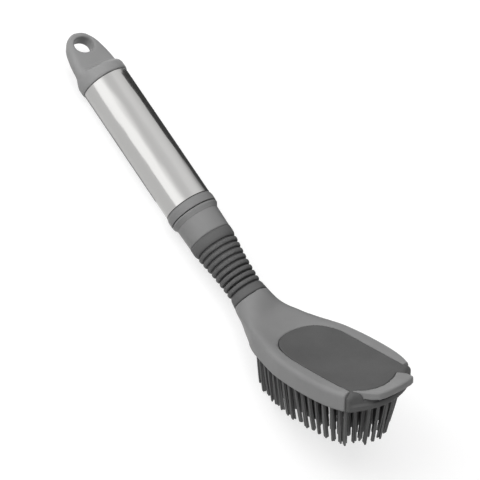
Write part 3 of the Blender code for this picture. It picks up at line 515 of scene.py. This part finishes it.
def rounded(corners, radius):
    """Closed profile through corners, each of them rounded."""
    profile = []
    for i, corner in enumerate(corners):
        corner = Vector(corner)
        before = Vector(corners[i - 1]) - corner
        after = Vector(corners[(i + 1) % len(corners)]) - corner
        reach = min(radius, before.length * CORNER_SHARE, after.length * CORNER_SHARE)
        start = corner + before.normalized() * reach
        end = corner + after.normalized() * reach
        for k in range(CORNER_STEPS + 1):
            profile.append(curve_point(start, corner, end, k / CORNER_STEPS))
    return profile


def turned(name, node, profile, finish):
    """Closed ring turned from a profile of (station, radius), in place of a CAD node if it has one."""
    bm = bmesh.new()
    rings = []
    for step in range(TURN_STEPS):
        angle = 2 * math.pi * step / TURN_STEPS
        across, up = math.sin(angle), math.cos(angle)
        rings.append([bm.verts.new((x, radius * across, radius * up)) for x, radius in profile])
    for step in range(TURN_STEPS):
        near, far = rings[step - 1], rings[step]
        for i in range(len(profile)):
            bm.faces.new((near[i - 1], near[i], far[i], far[i - 1]))
    bmesh.ops.recalc_face_normals(bm, faces=bm.faces[:])
    bm.transform(HANDLE_PLACE)
    piece = new_object(name, bm)
    weighted = piece.modifiers.new("weighted", "WEIGHTED_NORMAL")
    weighted.weight = NORMAL_WEIGHT
    finish_piece(piece, finish, node)
    return piece


def tube_profile():
    """Section of the tube's wall."""
    bore = TUBE_RADIUS - TUBE_WALL
    corners = ((TUBE_TOP, TUBE_RADIUS), (TUBE_LOW, TUBE_RADIUS), (TUBE_LOW, bore), (TUBE_TOP, bore))
    return rounded(corners, TUBE_CORNER)


def collar_profile():
    """Section of the collar: its spigot in the tube, the seam, and its flare below the seam."""
    spigot_end = TUBE_LOW - SPIGOT_LENGTH
    seam = TUBE_LOW + GAP
    corners = (
        (spigot_end, SPIGOT_RADIUS), (seam, SPIGOT_RADIUS), (seam, TUBE_RADIUS),
        (seam + COLLAR_FLARE, COLLAR_RADIUS), (SHANK_TOP, COLLAR_RADIUS),
        (SHANK_TOP, COLLAR_BORE), (spigot_end, COLLAR_BORE),
    )
    return rounded(corners, COLLAR_CORNER)


def fillet_profile():
    """Section of the soft run from the shoulder below the collar to the shank."""
    start = SHANK_TOP + SHOULDER_SETBACK
    bore = FILLET_LOW_RADIUS - FILLET_THICKNESS
    outer = []
    for k in range(FILLET_STEPS + 1):
        share = k / FILLET_STEPS
        drop = share * share * (3 - 2 * share)
        radius = SHOULDER_RADIUS + (FILLET_LOW_RADIUS - SHOULDER_RADIUS) * drop
        outer.append((start + FILLET_LENGTH * share, radius))
    return outer + [(start + FILLET_LENGTH, bore), (start, bore)]


def curve_value(table, share):
    """Value of a table of (place, value) shares at a place, on a smooth curve."""
    places = [row[0] for row in table]
    values = [row[1] for row in table]
    share = min(max(share, 0), 1)
    slopes = []
    for i in range(len(table)):
        low = max(i - 1, 0)
        high = min(i + 1, len(table) - 1)
        slopes.append((values[high] - values[low]) / (places[high] - places[low]))
    i = max(k for k in range(len(places) - 1) if places[k] <= share)
    span = places[i + 1] - places[i]
    t = (share - places[i]) / span
    start = (1 + 2 * t) * (1 - t) ** 2 * values[i] + t * (1 - t) ** 2 * span * slopes[i]
    end = t * t * (3 - 2 * t) * values[i + 1] + t * t * (t - 1) * span * slopes[i + 1]
    return start + end


def grip_radius(x):
    """Radius of the grip over its beads."""
    return GRIP_RADIUS * curve_value(GRIP_RADIUS_SHARES, -x / GRIP_LENGTH)


def band_points(start, end, dropped):
    """Points of a plain band of the grip; the one beside a groove drops as a bead's edge does."""
    points = []
    for k in range(BAND_STEPS + 1):
        x = start + (end - start) * k / BAND_STEPS
        points.append((x, grip_radius(x) - (EDGE_DROP if k == dropped else 0)))
    return points


def grip_profile():
    """Section of the grip: a band, round beads between deep grooves, and a lower band."""
    outer = band_points(GRIP_TOP, TOP_BAND_END, dropped=BAND_STEPS)
    for k in range(GROOVE_COUNT):
        centre = FIRST_GROOVE + k * GROOVE_PITCH
        floor = grip_radius(centre) - GROOVE_DEPTH
        for side, depth_share in GROOVE_SHARES:
            outer.append((centre + side * GROOVE_HALF, floor + GROOVE_DEPTH * (1 - depth_share)))
        if k < GROOVE_COUNT - 1:
            for share, drop_share in BEAD_SHARES:
                x = centre + GROOVE_HALF + (GROOVE_PITCH - 2 * GROOVE_HALF) * share
                outer.append((x, grip_radius(x) - EDGE_DROP * drop_share))
    outer += band_points(LOW_BAND_START, 0.0, dropped=0)
    return outer + [(0.0, GRIP_BORE_LOW), (GRIP_TOP, GRIP_BORE_TOP)]


def smooth_bands(grip, finish):
    """Smooth rubber on the two bands of the grip, beside the grained beads."""
    grip.data.materials.append(finish)
    to_handle = HANDLE_PLACE.inverted()
    for face in grip.data.polygons:
        station = (to_handle @ face.center).x
        if station < TOP_BAND_END or station > LOW_BAND_START:
            face.material_index = 1


turned("fine_tube", "handle_tube", tube_profile(), tube_steel)
turned("fine_collar", "tube_collar", collar_profile(), collar_plastic)
smooth_bands(turned("fine_grip", "neck_grip", grip_profile(), grip_rubber), band_rubber)
turned("shank_fillet", None, fillet_profile(), body_plastic)


# Bristles, in the head frame

def clusters(points):
    """Middles of the groups of points that lie close together, in order across the head."""
    groups = []
    for point in sorted(points, key=lambda p: p.y):
        if groups and point.y - groups[-1][-1].y < TUFT_SPACING:
            groups[-1].append(point)
        else:
            groups.append([point])
    return [sum(group, Vector()) / len(group) for group in groups]


def is_root(vertex):
    """Whether a vertex is the upper end of a strand, one edge away from its tip."""
    others = [edge.other_vert(vertex) for edge in vertex.link_edges]
    return vertex.co.z > 0 and any(other.co.z < TIP_LEVEL for other in others)


def keep_backing(bm):
    """Cut the strands off a CAD row at the face of its backing, and close the cut."""
    geometry = bm.verts[:] + bm.edges[:] + bm.faces[:]
    cut = bmesh.ops.bisect_plane(bm, geom=geometry, plane_co=(0, 0, BACKING_FACE),
                                 plane_no=(0, 0, 1), clear_inner=True)
    edges = [item for item in cut["geom_cut"] if isinstance(item, bmesh.types.BMEdge)]
    bmesh.ops.holes_fill(bm, edges=edges)


def on_circle(angle):
    """Point of a circle of radius 1, level in the head frame."""
    return Vector((math.cos(angle), math.sin(angle), 0))


def filament_ring(bm, centre, size=1.0):
    """Ring of a filament round a centre; size is a share of its radius."""
    angles = [2 * math.pi * i / FILAMENT_SIDES for i in range(FILAMENT_SIDES)]
    return [bm.verts.new(centre + on_circle(angle) * FILAMENT_RADIUS * size) for angle in angles]


def filament(bm, root, bend, tip):
    """Round filament on a quadratic curve from root to tip, with a rounded end."""
    rings = []
    for k in range(FILAMENT_STEPS):
        centre = curve_point(root, bend, tip, k / (FILAMENT_STEPS - 1))
        rings.append(filament_ring(bm, centre))
    along = (tip - bend).normalized()
    for size, step in FILAMENT_END_SHARES:
        rings.append(filament_ring(bm, tip + along * FILAMENT_RADIUS * step, size))
    for near, far in zip(rings, rings[1:]):
        for i in range(FILAMENT_SIDES):
            j = (i + 1) % FILAMENT_SIDES
            bm.faces.new((near[j], near[i], far[i], far[j]))
    bm.faces.new(rings[0])
    bm.faces.new(list(reversed(rings[-1])))


def tuft(bm, root, tip, inner, chance):
    """Tuft of bowed filaments; one inside the field is fuller and shorter than one at its edge."""
    filaments = INNER_FILAMENTS if inner else EDGE_FILAMENTS
    root_radius, tip_radius = INNER_TUFT_RADII if inner else EDGE_TUFT_RADII
    tip = tip + Vector((chance.uniform(-1, 1), chance.uniform(-1, 1), 0)) * TUFT_LEAN
    if inner:
        tip.z += INNER_TRIM
    lean = tip - root
    for k in range(filaments):
        angle = FILAMENT_TURN * k + chance.uniform(-FILAMENT_TURN_SCATTER, FILAMENT_TURN_SCATTER)
        spot = on_circle(angle) * math.sqrt((k + 0.5) / filaments)
        start = Vector((root.x, root.y, BACKING_FACE + FILAMENT_RADIUS)) + spot * root_radius
        end = tip + spot * tip_radius
        end.x += chance.uniform(-1, 1) * TIP_SCATTER_ACROSS
        end.y += chance.uniform(-1, 1) * TIP_SCATTER_ACROSS
        end.z += chance.uniform(-1, 1) * TIP_SCATTER
        end.z += max(0, FLOOR_ROOM - (HEAD_PLACE @ end).z)
        bend = start.lerp(end, 0.5) - Vector((lean.x, lean.y, 0)) * BOW_SHARE
        filament(bm, start, bend, end)


def fine_row(name, end_row):
    """Row of tufts on its slice of backing, in place of the CAD node's few strands."""
    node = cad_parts[name]
    bm = bmesh.new()
    bm.from_mesh(node.data)
    bm.transform(HEAD_PLACE.inverted() @ node.matrix_world)
    bmesh.ops.remove_doubles(bm, verts=bm.verts[:], dist=WELD)
    tips = clusters([vertex.co.copy() for vertex in bm.verts if vertex.co.z < TIP_LEVEL])
    roots = clusters([vertex.co.copy() for vertex in bm.verts if is_root(vertex)])
    keep_backing(bm)
    chance = random.Random(name)
    for place, (tip, root) in enumerate(zip(tips, roots)):
        inner = not end_row and 0 < place < len(tips) - 1
        tuft(bm, root, tip, inner, chance)
    bm.transform(HEAD_PLACE)
    finish_piece(new_object(f"fine_{name}", bm), bristle_nylon, name)


row_names = sorted(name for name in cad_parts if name.startswith("tuft_row"))
end_row_names = (*row_names[:2], row_names[-1])
for name in row_names:
    fine_row(name, name in end_row_names)


# Floor, cards, surroundings, lamps and camera

def math_node(tree, operation, first, second):
    """Result of a math node on a value and another value or a fixed number."""
    node = tree.nodes.new("ShaderNodeMath")
    node.operation = operation
    tree.links.new(first, node.inputs[0])
    if isinstance(second, float):
        node.inputs[1].default_value = second
    else:
        tree.links.new(second, node.inputs[1])
    return node.outputs[0]


def mix_shaders(tree, share, first, second):
    """Mix of two shaders; at a share of 1 it is the second."""
    mix = tree.nodes.new("ShaderNodeMixShader")
    tree.links.new(share, mix.inputs["Fac"])
    tree.links.new(first, mix.inputs[1])
    tree.links.new(second, mix.inputs[2])
    return mix.outputs[0]


def seen_share(tree):
    """1 for camera, glossy and transmission rays, and 0 for the others."""
    path = tree.nodes.new("ShaderNodeLightPath")
    seen = math_node(tree, "MAXIMUM", path.outputs["Is Camera Ray"], path.outputs["Is Glossy Ray"])
    return math_node(tree, "MAXIMUM", seen, path.outputs["Is Transmission Ray"])


def make_floor():
    """Plain pale floor: seen, it is white with a light shadow; it lights the part as pale paint."""
    bm = bmesh.new()
    bmesh.ops.create_grid(bm, x_segments=1, y_segments=1, size=FLOOR_HALF)
    floor = new_object("floor", bm)
    finish, tree, shader = new_material("floor_paint")
    shader.inputs["Base Color"].default_value = (*FLOOR_COLOUR, 1)
    shader.inputs["Roughness"].default_value = FLOOR_ROUGHNESS
    shader.inputs["Specular IOR Level"].default_value = FLOOR_SPECULAR
    paint = tree.nodes.new("ShaderNodeBsdfDiffuse")
    paint.inputs["Color"].default_value = (*SEEN_FLOOR_COLOUR, 1)
    glow = tree.nodes.new("ShaderNodeEmission")
    glow.inputs["Strength"].default_value = SEEN_FLOOR_GLOW
    seen = tree.nodes.new("ShaderNodeAddShader")
    tree.links.new(paint.outputs[0], seen.inputs[0])
    tree.links.new(glow.outputs[0], seen.inputs[1])
    surface = mix_shaders(tree, seen_share(tree), shader.outputs[0], seen.outputs[0])
    tree.links.new(surface, tree.nodes["Material Output"].inputs["Surface"])
    floor.data.materials.append(finish)


def card(name, corners, colour, glow=0.0):
    """Studio card that only reflections show, as photographers use for bright metal."""
    bm = bmesh.new()
    bm.faces.new([bm.verts.new(corner) for corner in corners])
    piece = new_object(name, bm)
    finish, tree, shader = new_material(f"{name}_cloth")
    shader.inputs["Base Color"].default_value = (*colour, 1)
    shader.inputs["Roughness"].default_value = 1.0
    shader.inputs["Emission Color"].default_value = WHITE
    shader.inputs["Emission Strength"].default_value = glow
    piece.data.materials.append(finish)
    piece.visible_camera = False
    piece.visible_diffuse = False
    piece.visible_shadow = False


def flat_corners(ends, edges, height):
    """Corners of a level rectangle, from its ends along the handle and its edges across it."""
    (start, end), (near, far) = ends, edges
    return [(x, y, height) for x, y in ((start, near), (end, near), (end, far), (start, far))]


def make_cards():
    """Dark flags behind tube and neck, and two pale cards: below the tube a painted shadow, and one in
    front of it.
    """
    for name, start, end in zip(("tube_flag", "neck_flag"), FLAG_POSTS, FLAG_POSTS[1:]):
        low = [(x, y, FLAG_LIFT) for x, y, top in (start, end)]
        high = [(x, y, top) for x, y, top in (end, start)]
        card(name, low + high, FLAG_COLOUR)
    # Painted shadow under the tube, for reflections only
    card("shade", flat_corners(SHADE_ENDS, SHADE_EDGES, SHADE_LIFT), SHADE_COLOUR)
    card("apron", flat_corners(APRON_ENDS, APRON_EDGES, APRON_LIFT), APRON_COLOUR, APRON_GLOW)


def background(tree, strength, tone=None):
    """Background of a strength, in a tone, or white if there is none."""
    node = tree.nodes.new("ShaderNodeBackground")
    node.inputs["Strength"].default_value = strength
    node.inputs["Color"].default_value = WHITE
    if tone:
        tree.links.new(tone, node.inputs["Color"])
    return node.outputs[0]


def make_world():
    """Studio surroundings: soft light on the part, walls for reflections, and white for the camera."""
    world = bpy.data.worlds.new("studio")
    bpy.context.scene.world = world
    world.use_nodes = True
    tree = world.node_tree
    coords = tree.nodes.new("ShaderNodeTexCoord")
    towards = tree.nodes.new("ShaderNodeVectorMath")
    towards.operation = "DOT_PRODUCT"
    towards.inputs[1].default_value = SOFT_SIDE
    tree.links.new(coords.outputs["Generated"], towards.inputs[0])
    soft_tone = ramp(tree, towards.outputs["Value"], SOFT_STOPS)
    split = tree.nodes.new("ShaderNodeSeparateXYZ")
    tree.links.new(coords.outputs["Generated"], split.inputs["Vector"])
    angle = math_node(tree, "ARCTAN2", split.outputs["Z"], split.outputs["Y"])
    gloss_tone = ramp(tree, math_node(tree, "DIVIDE", angle, math.pi), GLOSS_STOPS)
    soft = background(tree, SOFT_STRENGTH, soft_tone)
    gloss = background(tree, GLOSS_STRENGTH, gloss_tone)
    path = tree.nodes.new("ShaderNodeLightPath")
    surface = mix_shaders(tree, seen_share(tree), soft, gloss)
    surface = mix_shaders(tree, path.outputs["Is Camera Ray"], surface, background(tree, 1.0))
    tree.links.new(surface, tree.nodes["World Output"].inputs["Surface"])


def area_light(name, place, size, power):
    """Soft square lamp aimed at the part, which metal doesn't show."""
    data = bpy.data.lights.new(name, "AREA")
    data.shape = "SQUARE"
    data.size = size
    data.energy = power
    lamp = bpy.data.objects.new(name, data)
    lamp.location = place
    aim = Vector(LAMP_TARGET) - Vector(place)
    lamp.rotation_euler = aim.to_track_quat("-Z", "Y").to_euler()
    lamp.visible_glossy = False
    bpy.context.scene.collection.objects.link(lamp)


def make_camera():
    """Camera that looks at its target, at its angles and from its distance."""
    data = bpy.data.cameras.new("camera")
    data.lens = LENS
    camera = bpy.data.objects.new("camera", data)
    bpy.context.scene.collection.objects.link(camera)
    turn = (Matrix.Rotation(CAMERA_AZIMUTH + math.pi / 2, 4, "Z")
            @ Matrix.Rotation(math.pi / 2 - CAMERA_ELEVATION, 4, "X")
            @ Matrix.Rotation(CAMERA_ROLL, 4, "Z"))
    back = Matrix.Translation((0, 0, CAMERA_DISTANCE))
    camera.matrix_world = Matrix.Translation(CAMERA_TARGET) @ turn @ back
    bpy.context.scene.camera = camera


make_floor()
make_cards()
make_world()
for lamp in LAMPS:
    area_light(*lamp)
make_camera()

bpy.context.scene.view_settings.view_transform = "Standard"
